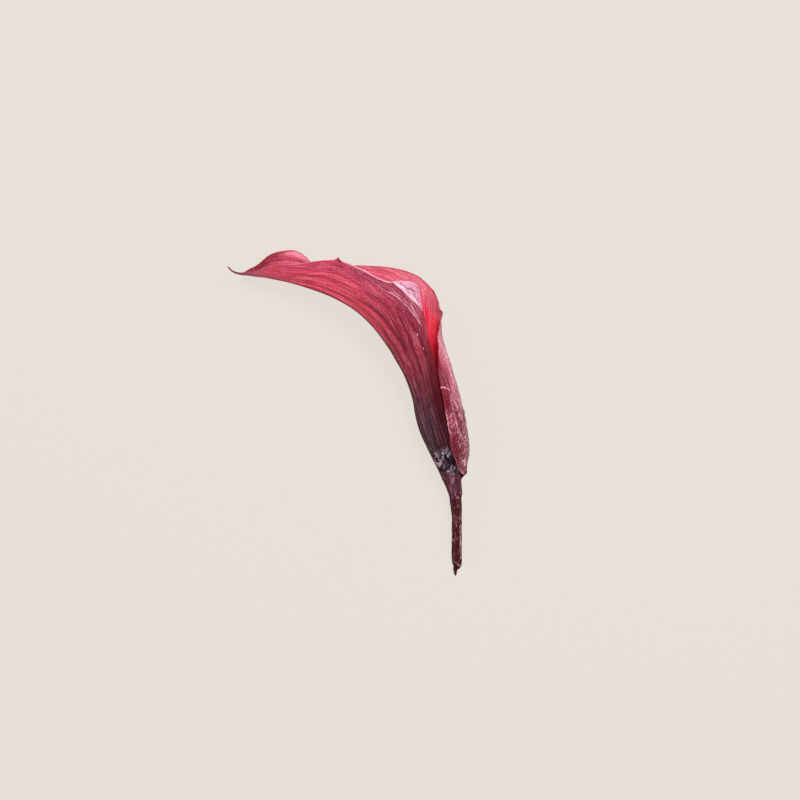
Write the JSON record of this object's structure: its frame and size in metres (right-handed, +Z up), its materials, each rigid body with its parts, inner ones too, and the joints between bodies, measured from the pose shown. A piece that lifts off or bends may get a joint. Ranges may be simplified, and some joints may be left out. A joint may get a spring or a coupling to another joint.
{
  "type": "dried calla lily",
  "caption": "Dried calla lily flower lying on its side, its rolled spathe open at the mouth and drawn out into a long curved tip, on a short torn stem stub.",
  "frame": {"origin": "on the surface it lies on, under the middle of its bounding box", "axes": "+Y from the torn stem end towards the mouth, -X the way the long tip points, +Z up from the surface it lies on"},
  "size_m": [0.0855, 0.1152, 0.026],
  "materials": {
    "spathe": "dried petal, silky sheen, finely ribbed",
    "spadix": "dried florets, matte",
    "stem": "dried stem, furrowed, matte"
  },
  "bodies": {
    "root": {"spathe": "spathe", "spadix": "spadix", "stem": "stem"}
  },
  "joints": []
}
